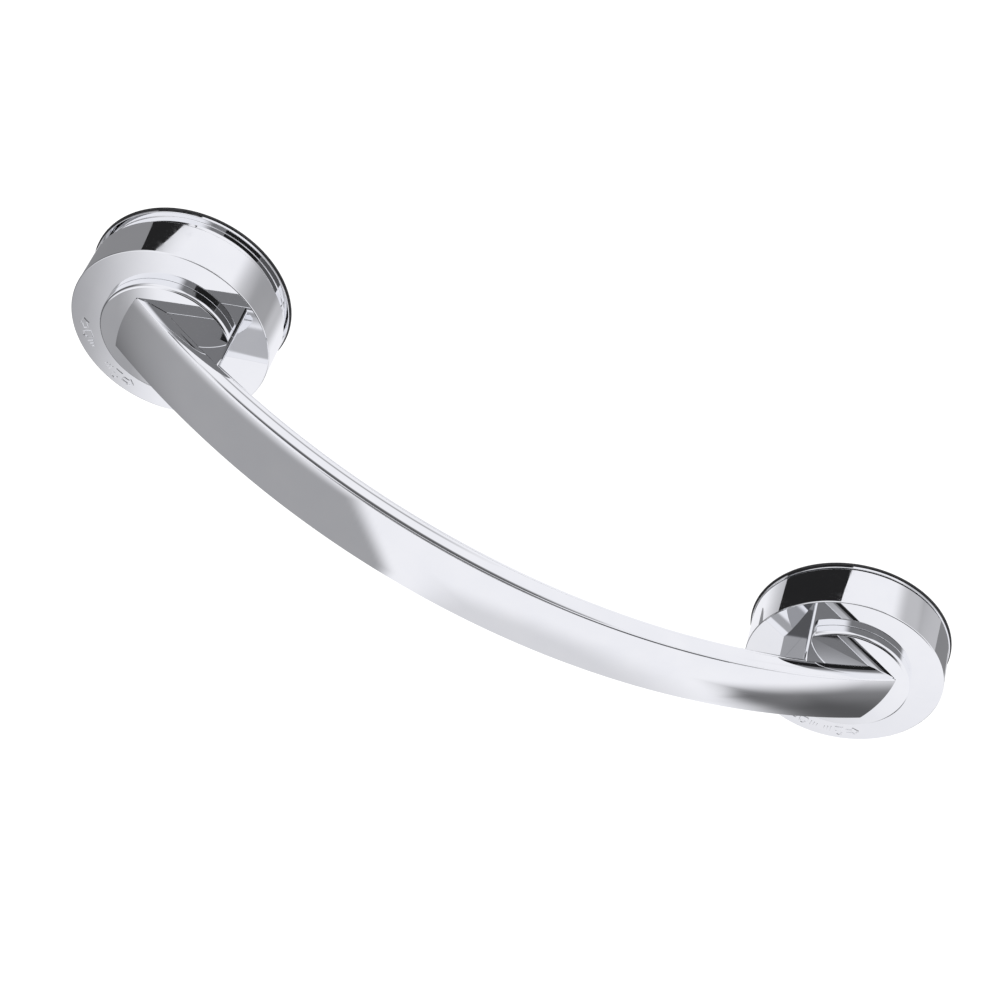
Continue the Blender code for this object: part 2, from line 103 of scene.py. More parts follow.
# Ring
RING_RADIUS = 40.0
RING_FRONT = -21.5
RING_BACK = -2.9
RING_WALL = 1.5
RING_HOLE = 19.0
FACE_BACK = -19.7
CAM_INNER = 33.0
CAM_OUTER = 35.2
CAM_END = -5.3
SLOT_HALF_HEIGHT = 1.7
PIN_LOCKED = -13.4
TRAVEL = 5.2
TURN = math.radians(120)

# Base plate and pad, in the locked position
PLATE_RADIUS = 40.3
PLATE_DRUM = 38.1
PLATE_DRUM_INNER = 36.4
PLATE_FRONT = -9.5
PLATE_FLOOR_FRONT = -5.0
PLATE_FLOOR_BACK = -3.4
PLATE_RIM_FRONT = -2.6
PLATE_RIM_BACK = -1.4
STUD_HOLE = 4.3
PAD_RADIUS = 40.9
PAD_STEP_RADIUS = 36.0
PAD_STUD_RADIUS = 12.3
PAD_STUD_DEPTH = 1.2
PAD_GROOVE_INNER = 30.0
PAD_GROOVE_OUTER = 32.0
PAD_GROOVE_DEPTH = 0.6
PAD_GROOVE_SLOPE = 0.4

# Raised signs
SIGN_RADIUS = 35.0
SIGN_RISE = 0.22
SIGN_ROOT = 0.1
SIGN_LINE = 0.4
LEFT_SIGNS = (215, 249.5)
RIGHT_SIGNS = (272, 297)

SIGN_EASE = 0.09 * MM
HARDWARE_EASE = 0.12 * MM
SPIN_STEPS = 240
ARC_STEPS = 4

# Camera and studio, in metres
CAMERA_PLACE = (-0.1205, -0.6600, 0.64924)
CAMERA_TURN = (39.675, -23.219, 15.241)
CAMERA_LENS = 84.246
WORLD_LIGHT = 1.25
FLOOR_LEVEL = -1.2
FLOOR_REACH = 15


class End:
    """One end of the bar: its disc's axis, the side it lies on, and how far its pad is out."""

    def __init__(self, side):
        low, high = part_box(side + "_lock_ring")
        pad_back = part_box(side + "_suction_pad")[1].y
        self.side = side
        self.sign = -1 if low.x < 0 else 1
        self.axis = (low.x + high.x) / 2 / MM
        self.shift = pad_back / MM

    def place(self, shape, shift=0.0):
        """Moves a shape from the end's own frame to the object's."""
        verts, faces, normals = shape
        turn = np.array((-self.sign, 1, -self.sign), float)
        return verts * turn + (self.axis, shift, 0), faces, normals * turn


# Outlines and meshes. A shape is (points in mm, faces, normals).


def unit(vector):
    return vector / np.linalg.norm(vector)


def rounded(corners, closed=True, steps=ARC_STEPS):
    """A polygon of (a, b, fillet) corners as rows of (a, b, normal a, normal b). Fillet 0 is smooth."""
    points = np.array([corner[:2] for corner in corners], float)
    after = np.roll(points, -1, 0)
    area = np.sum(points[:, 0] * after[:, 1] - after[:, 0] * points[:, 1])
    turn = 1 if area > 0 else -1
    rows = []
    last = len(corners) - 1
    for i, (point, fillet) in enumerate(zip(points, [corner[2] for corner in corners])):
        first = unit(point - points[i - 1])
        second = unit(after[i] - point)
        if not closed and i in (0, last):
            way = second if i == 0 else first
            rows.append((*point, turn * way[1], -turn * way[0]))
            continue
        if fillet == 0:
            way = unit(first + second)
            rows.append((*point, turn * way[1], -turn * way[0]))
            continue
        bend = math.atan2(first[0] * second[1] - first[1] * second[0], first @ second)
        cut = fillet * math.tan(abs(bend) / 2)
        start = point - first * cut
        normal = np.array((turn * first[1], -turn * first[0]))
        bulge = 1 if bend * turn > 0 else -1
        centre = start - bulge * fillet * normal
        for step in range(steps + 1):
            angle = bend * step / steps
            cos, sin = math.cos(angle), math.sin(angle)
            way = np.array((normal[0] * cos - normal[1] * sin, normal[0] * sin + normal[1] * cos))
            rows.append((*(centre + bulge * fillet * way), *way))
    return np.array(rows)


def oriented(verts, faces, normals):
    """The shape with every face wound to agree with its points' normals."""
    turned = []
    for face in faces:
        a, b, c = (verts[face[k]] for k in (0, 1, 2))
        flat = np.cross(b - a, c - a)
        if len(face) == 4:
            flat = flat + np.cross(c - a, verts[face[3]] - a)
        turned.append(face if flat @ sum(normals[k] for k in face) >= 0 else face[::-1])
    return verts, turned, normals


def spun(outline, steps=SPIN_STEPS):
    """Rows of (radius, y, normal radius, normal y) spun about Y. An open outline starts and ends on it."""
    closed = outline[0, 0] > 1e-6
    angles = np.arange(steps) * math.tau / steps
    cos, sin = np.cos(angles), np.sin(angles)
    verts, normals, rings = [], [], []
    for radius, y, out, up in outline:
        if radius < 1e-6:
            rings.append([len(verts)] * steps)
            verts.append((0, y, 0))
            normals.append((0, up, 0))
            continue
        rings.append(list(range(len(verts), len(verts) + steps)))
        verts.extend(zip(radius * cos, [y] * steps, radius * sin))
        normals.extend(zip(out * cos, [up] * steps, out * sin))
    pairs = list(zip(rings, rings[1:] + rings[:1]))
    faces = []
    for low, high in pairs if closed else pairs[:-1]:
        for i in range(steps):
            j = (i + 1) % steps
            faces.append(list(dict.fromkeys((low[i], low[j], high[j], high[i]))))
    return oriented(np.array(verts, float), faces, np.array(normals, float))


def arc_drop(x):
    return ARC_RADIUS - np.sqrt(ARC_RADIUS**2 - x * x)


def arc_slope(x):
    return x / np.sqrt(ARC_RADIUS**2 - x * x)


def swept(outline, reach, stations=BAR_STATIONS):
    """Rows of (z, y, normal z, normal y) carried along the bar's arc, each as far as reach(y)."""
    rows, verts, normals = [], [], []
    for step in range(stations + 1):
        share = 2 * step / stations - 1
        row = []
        for z, y, out, up in outline:
            x = share * reach(y)
            row.append(len(verts))
            verts.append((x, y + arc_drop(x), z))
            normals.append(unit(np.array((-arc_slope(x) * up, up, out))))
        rows.append(row)
    count = len(outline)
    faces = []
    for first, second in zip(rows, rows[1:]):
        for i in range(count):
            j = (i + 1) % count
            faces.append([first[i], first[j], second[j], second[i]])
    shape = oriented(np.array(verts, float), faces, np.array(normals, float))
    return capped(shape, (rows[0], (-1, 0, 0)), (rows[-1], (1, 0, 0)))


def capped(shape, *caps):
    """Closes a shape with flat caps, each a loop of its points and the way that the cap faces."""
    verts, faces, normals = shape
    faces = list(faces)
    for loop, normal in caps:
        face = loop if winding(verts[loop]) @ np.array(normal, float) > 0 else loop[::-1]
        faces.append(list(face))
    return verts, faces, normals


def winding(points):
    """Newell's normal of a loop of points."""
    after = np.roll(points, -1, 0)
    return np.cross(points, after).sum(0)


def joined(*shapes):
    """Several shapes as one."""
    verts, faces, normals = [], [], []
    start = 0
    for points, loops, ways in shapes:
        verts.append(points)
        normals.append(ways)
        faces += [[k + start for k in face] for face in loops]
        start += len(points)
    return np.vstack(verts), faces, np.vstack(normals)


def piece(name, shape, body, look, stands_for=()):
    """Makes a shape an object in metres with exact normals, which rides on a body."""
    verts, faces, normals = shape
    mesh = bpy.data.meshes.new(name)
    mesh.from_pydata((verts * MM).tolist(), [], [list(map(int, face)) for face in faces])
    mesh.validate()
    mesh.shade_smooth()
    mesh.normals_split_custom_set_from_vertices(normals.tolist())
    mesh.materials.append(look)
    obj = bpy.data.objects.new(name, mesh)
    bpy.context.scene.collection.objects.link(obj)
    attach(obj, body)
    if stands_for:
        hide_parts(*stands_for)
    return obj


# Shapes


def front_outline():
    """Section of the front shell at mid-length: crowned front, convex side bands, hollow behind."""
    corner = HALF_WIDTH
    crown = []
    for step in range(25):
        z = (corner - 0.5) * (step / 12 - 1)
        crown.append((z, FRONT_APEX - CROWN * (1 - (z / corner) ** 2), 0))
    back = FRONT_APEX + BAND_DEPTH
    side = []
    for step in range(1, 14):
        share = step / 14
        side.append((HALF_WIDTH + SIDE_BULGE * math.sin(math.pi * share), FRONT_APEX + share * BAND_DEPTH, 0))
    right = [(HALF_WIDTH, FRONT_APEX, EDGE_ROUND), *side, (HALF_WIDTH, back, 0.3)]
    left = [(-z, y, fillet) for z, y, fillet in reversed(right)]
    inner = HALF_WIDTH - WALL
    roof = FRONT_APEX + WALL
    inside = [(inner, back, 0.2), (inner, roof, 0.6), (-inner, roof, 0.6), (-inner, back, 0.2)]
    return rounded(left + crown + right + inside)


def back_outline():
    """Section of the back plate at mid-length: a low dome whose edges meet the front shell's."""
    base = FRONT_APEX + BAND_DEPTH + 0.1
    half = HALF_WIDTH - 0.25
    dome = []
    for step in range(25):
        angle = math.pi * step / 24
        dome.append((half * math.cos(angle), base + 0.6 + BACK_BULGE * math.sin(angle), 0))
    return rounded([(half, base, 0.15), *dome, (-half, base, 0.15)])


def handle_front(look):
    level = BOSS_TOP - BOSS_CROWN
    outline = front_outline()

    def reach(y):
        return math.sqrt(ARC_RADIUS**2 - (ARC_RADIUS - (level - y)) ** 2)

    name = "handle_front_shell"
    piece(name + "_chrome", swept(outline, reach), "handle", look, [name])


def foot(end):
    """A foot in its end's own frame: straight sides up to the underside of the front shell."""
    wall, tip = FOOT_REACH, -FOOT_TIP
    half = FOOT_HALF_WIDTH
    corners = [(tip, -half, 0.3), (wall, -half, FOOT_ROUND), (wall, half, FOOT_ROUND), (tip, half, 0.3)]
    outline = rounded(corners, steps=8)
    # Points along the long sides, so that their tops follow the arc
    dense = []
    for row, following in zip(outline, np.roll(outline, -1, 0)):
        dense.append(row)
        length = np.linalg.norm(following[:2] - row[:2])
        cuts = int(length / 2)
        for cut in range(1, cuts):
            share = cut / cuts
            dense.append(row * (1 - share) + following * share)
    dense = np.array(dense)
    count = len(dense)
    verts, normals = [], []
    for x, z, out, across in dense:
        world_x = abs(end.axis) - x
        top = FRONT_APEX + BAND_DEPTH + arc_drop(world_x) + 0.12
        verts += [(x, BOSS_BOTTOM, z), (x, top, z)]
        normals += [(out, 0, across)] * 2
    faces = []
    for i in range(count):
        j = (i + 1) % count
        faces.append([2 * i, 2 * j, 2 * j + 1, 2 * i + 1])
    shape = oriented(np.array(verts, float), faces, np.array(normals, float))
    low = [2 * i for i in range(count)]
    high = [2 * i + 1 for i in range(count)]
    return capped(shape, (low, (0, 1, 0)), (high, (0, -1, 0)))


def boss():
    """The disc under a bar's end: crowned top, rounded edge, cut off flat towards the middle of the bar."""
    steps = 220
    rows = []
    for step in range(1, 13):
        share = step / 12
        radius = (BOSS_RADIUS - BOSS_ROUND) * share
        slope = 2 * BOSS_CROWN * share / (BOSS_RADIUS - BOSS_ROUND)
        rows.append((radius, BOSS_TOP - BOSS_CROWN * (1 - share**2), slope, -1))
    for step in range(1, 9):
        angle = math.pi / 2 * step / 8
        sin, cos = math.sin(angle), math.cos(angle)
        rows.append((BOSS_RADIUS - BOSS_ROUND * (1 - sin), BOSS_TOP + BOSS_ROUND * (1 - cos), sin, -cos))
    rows.append((BOSS_RADIUS, BOSS_BOTTOM - 0.15, 1, 0))
    rows.append((BOSS_RADIUS - 0.15, BOSS_BOTTOM, 0.3, 1))
    verts, normals, loops = [(0, BOSS_TOP - BOSS_CROWN, 0)], [(0, -1, 0)], []
    for radius, y, out, up in rows:
        first = math.acos(BOSS_CUT / radius) if radius > BOSS_CUT else 0
        loop = []
        for step in range(steps):
            angle = first + (math.tau - 2 * first) * step / (steps - 1 if first else steps)
            cos, sin = math.cos(angle), math.sin(angle)
            loop.append(len(verts))
            verts.append((radius * cos, y, radius * sin))
            normals.append(unit(np.array((out * cos, up, out * sin))))
        loops.append(loop)
    faces = [[0, loops[0][i], loops[0][(i + 1) % steps]] for i in range(steps)]
    for low, high in zip(loops, loops[1:]):
        for i in range(steps - 1):
            faces.append([low[i], low[i + 1], high[i + 1], high[i]])
    # The round rows close on themselves, and the flat spans the cut ones
    cut = next(k for k, row in enumerate(rows) if row[0] > BOSS_CUT)
    for k in range(cut - 1):
        faces.append([loops[k][-1], loops[k][0], loops[k + 1][0], loops[k + 1][-1]])
    faces.append([loops[cut - 1][-1], loops[cut - 1][0], loops[cut][0], loops[cut][-1]])
    shape = oriented(np.array(verts, float), faces, np.array(normals, float))
    edge = [loop[0] for loop in loops[cut:]] + [loop[-1] for loop in reversed(loops[cut:])]
    return capped(shape, (edge, (1, 0, 0)), (loops[-1], (0, 1, 0)))


def handle_rear(look, ends):
    reach = abs(ends[0].axis) - FOOT_REACH + 1.0
    shapes = [swept(back_outline(), lambda y: reach)]
    for end in ends:
        shapes.append(end.place(foot(end)))
        shapes.append(end.place(boss()))
    name = "handle_rear_shell"
    piece(name + "_chrome", joined(*shapes), "handle", look, [name])


def hub(end, look):
    corners = [
        (0, HUB_FRONT, 0),
        (HUB_RADIUS, HUB_FRONT, 0.2),
        (HUB_RADIUS, HUB_BACK, 0.3),
        (GUIDE_RADIUS, HUB_BACK, 0.3),
        (GUIDE_RADIUS, GUIDE_END, 0.3),
        (HUB_BORE, GUIDE_END, 0.3),
        (HUB_BORE, HUB_FLOOR, 0.3),
        (0, HUB_FLOOR, 0),
    ]
    outline = rounded(corners, closed=False)
    verts, faces, normals = spun(outline)
    radius = np.hypot(verts[:, 0], verts[:, 2])
    # The guide tube's outside is drawn in from round to hexagonal
    guide = (radius > HUB_BORE + 0.5) & (radius < GUIDE_RADIUS + 0.4) & (verts[:, 1] > HUB_BACK - 0.01)
    angle = np.arctan2(verts[:, 2], verts[:, 0])
    across = np.mod(angle - math.pi / 6, math.pi / 3) - math.pi / 6
    middle = angle - across
    narrow = np.where(guide, math.cos(math.pi / 6) / np.cos(across), 1.0)
    verts = verts * np.column_stack((narrow, np.ones(len(verts)), narrow))
    out = np.hypot(normals[:, 0], normals[:, 2])
    flat = np.column_stack((out * np.cos(middle), normals[:, 1], out * np.sin(middle)))
    normals = np.where(guide[:, None], flat, normals)
    name = end.side + "_hub"
    piece(name + "_chrome", end.place((verts, faces, normals)), "handle", look, [name])


def ring(end, look):
    wall = RING_RADIUS - RING_WALL
    corners = [
        (RING_HOLE, RING_FRONT, 0.2),
        (RING_RADIUS, RING_FRONT, 0.45),
        (RING_RADIUS, RING_BACK, 0.4),
        (wall, RING_BACK, 0.3),
        (wall, FACE_BACK, 0.4),
        (RING_HOLE, FACE_BACK, 0.2),
    ]
    shape = end.place(spun(rounded(corners)))
    name = end.side + "_lock_ring"
    piece(name + "_chrome", shape, end.side + "_ring", look, [name])


def slot_way(start):
    """The way of a cam pin through the ring's sleeve, from its locked end up to its open end."""
    margin = SLOT_HALF_HEIGHT / CAM_INNER
    inner, outer = CAM_INNER - 2, CAM_OUTER + 2
    steps = 40
    verts, faces = [], []
    for step in range(steps + 1):
        angle = start - margin + step / steps * (TURN + 2 * margin)
        lift = TRAVEL * min(max((angle - start) / TURN, 0), 1)
        for radius, side in ((inner, -1), (outer, -1), (outer, 1), (inner, 1)):
            y = PIN_LOCKED + lift + side * SLOT_HALF_HEIGHT
            verts.append((radius * math.cos(angle), y, -radius * math.sin(angle)))
    for step in range(steps):
        for i in range(4):
            j = (i + 1) % 4
            faces.append([4 * step + i, 4 * step + j, 4 * step + 4 + j, 4 * step + 4 + i])
    faces += [[0, 3, 2, 1], [4 * steps + k for k in range(4)]]
    return verts, faces


def plain_mesh(name, verts, faces):
    """An object in metres from points in millimetres, with its faces turned outward."""
    mesh = bpy.data.meshes.new(name)
    mesh.from_pydata((np.array(verts, float) * MM).tolist(), [], [list(map(int, face)) for face in faces])
    bm = bmesh.new()
    bm.from_mesh(mesh)
    bmesh.ops.recalc_face_normals(bm, faces=bm.faces)
    bm.to_mesh(mesh)
    bm.free()
    obj = bpy.data.objects.new(name, mesh)
    bpy.context.scene.collection.objects.link(obj)
    return obj


def eased(obj, width, sharp):
    """Takes the edge off every corner sharper than an angle in degrees."""
    ease = obj.modifiers.new("eased_edges", "BEVEL")
    ease.width = width
    ease.segments = 2
    ease.limit_method = "ANGLE"
    ease.angle_limit = math.radians(sharp)


def cam_sleeve(end, look):
    """The ring's inner sleeve, cut through by the three helical slots of the cam pins."""
    corners = [
        (CAM_INNER, FACE_BACK - 0.1, 0.2),
        (CAM_OUTER, FACE_BACK - 0.1, 0.2),
        (CAM_OUTER, CAM_END, 0.3),
        (CAM_INNER, CAM_END, 0.3),
    ]
    verts, faces, _ = spun(rounded(corners), 120)
    sleeve = plain_mesh("sleeve", verts, faces)
    for number in range(3):
        way = plain_mesh("slot", *slot_way(number * math.tau / 3))
        cut = sleeve.modifiers.new("slot", "BOOLEAN")
        cut.operation = "DIFFERENCE"
        cut.solver = "EXACT"
        cut.object = way
        bpy.context.view_layer.update()
        built = sleeve.evaluated_get(bpy.context.evaluated_depsgraph_get())
        shaped = bpy.data.meshes.new_from_object(built)
        sleeve.modifiers.remove(cut)
        sleeve.data = shaped
        bpy.data.objects.remove(way, do_unlink=True)
    turn = -TURN if end.shift > 1 else 0
    half_turn = math.pi if end.sign > 0 else 0
    spin = Matrix.Rotation(half_turn + turn, 4, "Y")
    sleeve.data.transform(Matrix.Translation((end.axis * MM, 0, 0)) @ spin)
    sleeve.data.shade_smooth()
    sleeve.data.set_sharp_from_angle(angle=math.radians(30))
    sleeve.data.materials.append(look)
    sleeve.name = end.side + "_ring_cam_sleeve"
    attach(sleeve, end.side + "_ring")


# Raised signs on the rings. A sign is a list of outlines in (along, outward) millimetres.


def strip(points, width):
    """A line of even width through points."""
    points = np.array(points, float)
    ways = np.gradient(points, axis=0)
    ways /= np.linalg.norm(ways, axis=1)[:, None]
    side = np.column_stack((-ways[:, 1], ways[:, 0])) * width / 2
    return [*(points + side), *(points - side)[::-1]]


def padlock(lifted):
    """A padlock whose shackle is shut, or lifted out on one side."""
    body = [(-1.8, -1.9), (1.8, -1.9), (1.8, 0.3), (-1.8, 0.3)]
    rise = 0.9 if lifted else 0.0
    arch = [(1.15 * math.cos(a), 0.9 + rise + 1.15 * math.sin(a)) for a in np.linspace(0, math.pi, 17)]
    foot_end = (1.15, 1.4) if lifted else (1.15, 0.4)
    return [body, strip([foot_end, *arch, (-1.15, 0.4)], 0.6)]


def arrow(way):
    """A broad arrow along the ring, drawn as an outline."""
    tip, neck, tail = 2.6, 0.2, -2.4
    points = [(tail, -0.9), (neck, -0.9), (neck, -1.9), (tip, 0), (neck, 1.9), (neck, 0.9), (tail, 0.9)]
    sides = []
    for first, second in zip(points, points[1:] + points[:1]):
        sides.append(strip([(way * first[0], first[1]), (way * second[0], second[1])], SIGN_LINE))
    return sides


def tick(height):
    side, end = SIGN_LINE / 2, height / 2
    return [[(-side, -end), (side, -end), (side, end), (-side, end)]]


def raised(outlines, degrees):
    """Outlines laid on the ring's face at an angle about its axis, standing proud of it."""
    radius, angle = SIGN_RADIUS, math.radians(degrees)
    shapes = []
    for outline in outlines:
        dense = []
        for a, b in zip(outline, outline[1:] + outline[:1]):
            cuts = max(1, int(math.dist(a, b) / 0.8))
            dense += [(a[0] + (b[0] - a[0]) * k / cuts, a[1] + (b[1] - a[1]) * k / cuts) for k in range(cuts)]
        count = len(dense)
        verts = []
        for y in (RING_FRONT - SIGN_RISE, RING_FRONT + SIGN_ROOT):
            for along, out in dense:
                turn = angle + along / radius
                verts.append(((radius + out) * math.cos(turn), y, (radius + out) * math.sin(turn)))
        faces = [list(range(count)), list(range(2 * count - 1, count - 1, -1))]
        faces += [[i, (i + 1) % count, count + (i + 1) % count, count + i] for i in range(count)]
        shapes.append((verts, faces))
    return shapes


def signs(end, look, shut_at, open_at):
    """A shut and an open padlock, each with an arrow beyond it and a row of ticks towards the other."""
    shapes = []
    for at, way, lifted in ((shut_at, -1, False), (open_at, 1, True)):
        shapes += raised(padlock(lifted), at)
        shapes += raised(arrow(way), at + way * 9.0)
        for number, height in enumerate((2.6, 1.9, 1.3)):
            shapes += raised(tick(height), at - way * (5.5 + 2.2 * number))
    verts, faces = [], []
    for points, loops in shapes:
        faces += [[k + len(verts) for k in loop] for loop in loops]
        verts += [(x + end.axis, y, z) for x, y, z in points]
    obj = plain_mesh(end.side + "_ring_signs", verts, faces)
    eased(obj, SIGN_EASE, 50)
    obj.data.materials.append(look)
    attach(obj, end.side + "_ring")


def base_plate(end, look):
    step = PAD_STEP_RADIUS + 0.3
    corners = [
        (STUD_HOLE, PLATE_FLOOR_FRONT, 0.2),
        (PLATE_DRUM_INNER, PLATE_FLOOR_FRONT, 0.3),
        (PLATE_DRUM_INNER, PLATE_FRONT, 0.3),
        (PLATE_DRUM, PLATE_FRONT, 0.5),
        (PLATE_DRUM, PLATE_RIM_FRONT, 0.3),
        (PLATE_RADIUS, PLATE_RIM_FRONT, 0.25),
        (PLATE_RADIUS, PLATE_RIM_BACK, 0.2),
        (step, PLATE_RIM_BACK, 0.2),
        (step, PLATE_FLOOR_BACK, 0.2),
        (STUD_HOLE, PLATE_FLOOR_BACK, 0.2),
    ]
    shape = end.place(spun(rounded(corners)), end.shift)
    name = end.side + "_base_plate"
    piece(name + "_chrome", shape, end.side + "_pad_unit", look, [name])


def suction_pad(end, look):
    front = PLATE_FLOOR_BACK + 0.3
    rim_front = PLATE_RIM_BACK + 0.12
    corners = [
        (0, -PAD_STUD_DEPTH, 0),
        (PAD_STUD_RADIUS, -PAD_STUD_DEPTH, 0.2),
        (PAD_STUD_RADIUS, front, 0.2),
        (PAD_STEP_RADIUS, front, 0.3),
        (PAD_STEP_RADIUS, rim_front, 0.2),
        (PAD_RADIUS, rim_front, 0.4),
        (PAD_RADIUS - 0.2, 0, 0.7),
        (PAD_GROOVE_OUTER, 0, 0.25),
        (PAD_GROOVE_OUTER - PAD_GROOVE_SLOPE, -PAD_GROOVE_DEPTH, 0.3),
        (PAD_GROOVE_INNER + PAD_GROOVE_SLOPE, -PAD_GROOVE_DEPTH, 0.3),
        (PAD_GROOVE_INNER, 0, 0.25),
        (0, 0, 0),
    ]
    shape = end.place(spun(rounded(corners, closed=False)), end.shift)
    name = end.side + "_suction_pad"
    piece(name + "_rubber", shape, end.side + "_pad_unit", look, [name])


# Materials


class Material:
    """A principled material with noise helpers. Every texture is laid out in the piece's own metres."""

    def __init__(self, name, color, roughness, metallic):
        self.data = bpy.data.materials.new(name)
        self.data.use_nodes = True
        self.tree = self.data.node_tree
        self.shader = self.tree.nodes["Principled BSDF"]
        self.shader.inputs["Base Color"].default_value = (*color, 1)
        self.shader.inputs["Roughness"].default_value = roughness
        self.shader.inputs["Metallic"].default_value = metallic
        self.place = self.tree.nodes.new("ShaderNodeTexCoord").outputs["Object"]

    def noise(self, scale, detail=2.0, stretch=None):
        node = self.tree.nodes.new("ShaderNodeTexNoise")
        node.inputs["Scale"].default_value = scale
        node.inputs["Detail"].default_value = detail
        place = self.place
        if stretch:
            mapping = self.tree.nodes.new("ShaderNodeMapping")
            mapping.inputs["Scale"].default_value = stretch
            self.tree.links.new(place, mapping.inputs["Vector"])
            place = mapping.outputs["Vector"]
        self.tree.links.new(place, node.inputs["Vector"])
        return node.outputs["Fac"]

    def span(self, value, low, high, start=0.3, stop=0.7):
        node = self.tree.nodes.new("ShaderNodeMapRange")
        node.inputs["From Min"].default_value = start
        node.inputs["From Max"].default_value = stop
        node.inputs["To Min"].default_value = low
        node.inputs["To Max"].default_value = high
        self.tree.links.new(value, node.inputs["Value"])
        return node.outputs["Result"]

    def colors(self, value, *stops):
        node = self.tree.nodes.new("ShaderNodeValToRGB")
        ramp = node.color_ramp
        for element, (position, color) in zip(ramp.elements, (stops[0], stops[-1])):
            element.position = position
            element.color = (*color, 1)
        for position, color in stops[1:-1]:
            ramp.elements.new(position).color = (*color, 1)
        self.tree.links.new(value, node.inputs["Fac"])
        self.tree.links.new(node.outputs["Color"], self.shader.inputs["Base Color"])

    def rough(self, value):
        self.tree.links.new(value, self.shader.inputs["Roughness"])

    def bump(self, value, distance, strength=1.0):
        node = self.tree.nodes.new("ShaderNodeBump")
        node.inputs["Strength"].default_value = strength
        node.inputs["Distance"].default_value = distance
        self.tree.links.new(value, node.inputs["Height"])
        self.tree.links.new(node.outputs["Normal"], self.shader.inputs["Normal"])


def chrome_material():
    """Mirror plating with faint haze and handling marks, over moulded plastic that is a trace wavy."""
    made = Material("chrome_plating", (0.93, 0.935, 0.95), 0.02, 1.0)
    made.colors(made.noise(60, 3), (0.35, (0.915, 0.922, 0.94)), (0.7, (0.945, 0.95, 0.962)))
    made.rough(made.span(made.noise(220, 4), 0.012, 0.05, 0.4, 0.75))
    made.bump(made.noise(45, 1), 0.00002, 0.5)
    return made.data


def rubber_material():
    """Black rubber, lightly dusted, with a fine moulded grain."""
    made = Material("black_rubber", (0.015, 0.015, 0.016), 0.45, 0.0)
    made.colors(made.noise(140, 5), (0.35, (0.010, 0.010, 0.011)), (0.75, (0.024, 0.024, 0.026)))
    made.rough(made.span(made.noise(400, 3), 0.34, 0.58))
    made.bump(made.noise(3500, 2), 0.00002, 0.5)
    return made.data


def plastic_material():
    """Black moulded plastic with a fine spark-eroded texture."""
    made = Material("black_plastic", (0.03, 0.03, 0.032), 0.45, 0.0)
    made.colors(made.noise(90, 4), (0.35, (0.022, 0.022, 0.024)), (0.75, (0.042, 0.042, 0.045)))
    made.rough(made.span(made.noise(500, 3), 0.38, 0.6))
    made.bump(made.noise(2600, 3), 0.00004, 0.6)
    return made.data


def zinc_material():
    """Bright zinc plate: cool with faint straw-coloured patches and fine turning marks."""
    made = Material("zinc_plate", (0.62, 0.62, 0.6), 0.3, 1.0)
    warm, cool = (0.68, 0.65, 0.55), (0.60, 0.62, 0.64)
    made.colors(made.noise(260, 4), (0.3, cool), (0.55, (0.63, 0.63, 0.62)), (0.8, warm))
    made.rough(made.span(made.noise(900, 3), 0.2, 0.42))
    made.bump(made.noise(300, 2, (1, 14, 1)), 0.00003, 0.6)
    return made.data


def slip_material():
    """Milky self-lubricating plastic, a little marked where it rubs."""
    made = Material("slip_plastic", (0.8, 0.8, 0.78), 0.4, 0.0)
    made.colors(made.noise(120, 4), (0.3, (0.72, 0.72, 0.69)), (0.7, (0.83, 0.83, 0.81)))
    made.rough(made.span(made.noise(400, 3), 0.3, 0.5))
    made.bump(made.noise(1800, 2), 0.00002, 0.5)
    return made.data


def dress_frame(looks):
    """Gives the frame's own small hardware its materials and eases its edges."""
    finish = {"carrier": "plastic", "retainer": "plastic", "slip_washer": "slip"}
    for name, obj in list(bpy.data.objects.items()):
        if "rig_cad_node" not in obj or obj.hide_render:
            continue
        kind = name.split("_", 1)[1]
        obj.data.materials.clear()
        obj.data.materials.append(looks[finish.get(kind, "zinc")])
        eased(obj, HARDWARE_EASE, 35)


# Camera and studio


def make_camera():
    data = bpy.data.cameras.new("camera")
    data.sensor_width = 36
    data.lens = CAMERA_LENS
    data.clip_start = 0.01
    data.clip_end = 50
    camera = bpy.data.objects.new("camera", data)
    camera.location = CAMERA_PLACE
    camera.rotation_euler = [math.radians(angle) for angle in CAMERA_TURN]
    bpy.context.scene.collection.objects.link(camera)
    bpy.context.scene.camera = camera


